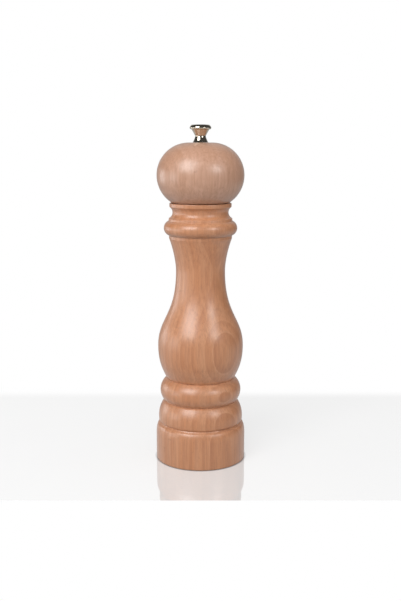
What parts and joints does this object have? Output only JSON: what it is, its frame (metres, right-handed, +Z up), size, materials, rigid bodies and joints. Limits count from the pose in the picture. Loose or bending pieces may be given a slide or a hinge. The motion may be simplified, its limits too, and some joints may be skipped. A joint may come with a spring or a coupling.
{
  "type": "pepper mill",
  "caption": "Turned beech pepper mill: head turns a square shaft and steel burrs under a pepper chamber, finial nut sets the grind.",
  "frame": {"origin": "centre of the foot, on the plane it stands on", "axes": "+Z up along the turning axis towards the finial nut, +X along the bridge over the burrs"},
  "size_m": [0.0592, 0.0592, 0.22],
  "materials": {
    "beech": "turned natural beech, thin satin varnish",
    "polished_steel": "mirror polished",
    "plated_steel": "zinc plated, satin",
    "hardened_steel": "case hardened, dark satin",
    "spring_steel": "bright drawn wire",
    "screw_steel": "zinc plated"
  },
  "bodies": {
    "body": {"body": "beech", "grinding_ring": "hardened_steel", "retaining_plate": "plated_steel", "retaining_screws": "screw_steel", "bridge": "plated_steel"},
    "carrier": {"spring_seat": "plated_steel", "spring": "spring_steel"},
    "spindle": {"shaft": "plated_steel", "grinding_cone": "hardened_steel", "cone_washer": "plated_steel", "cone_clip": "spring_steel"},
    "head": {"head": "beech", "drive_plate": "plated_steel", "drive_plate_screws": "screw_steel"},
    "knob": {"knob": "polished_steel"}
  },
  "joints": [
    {"name": "grind_turn", "type": "hinge", "parent": "body", "child": "carrier", "pos_m": [0, 0, 0.1709], "axis": [0, 0, 1], "continuous": true},
    {"name": "head_lift", "type": "slide", "parent": "carrier", "child": "head", "axis": [0, 0, 1], "range_m": [0, 0.065]},
    {"name": "knob_turn", "type": "hinge", "parent": "head", "child": "knob", "pos_m": [0, 0, 0.2087], "axis": [0, 0, 1], "range_deg": [-360, 360]},
    {"name": "grind_adjust", "type": "slide", "parent": "carrier", "child": "spindle", "axis": [0, 0, 1], "range_m": [-0.0007, 0.0007], "deforming": ["spring"]}
  ],
  "couplings": [
    {"joint": "knob_turn", "follows": "grind_adjust", "rad_per_m": -8976}
  ]
}
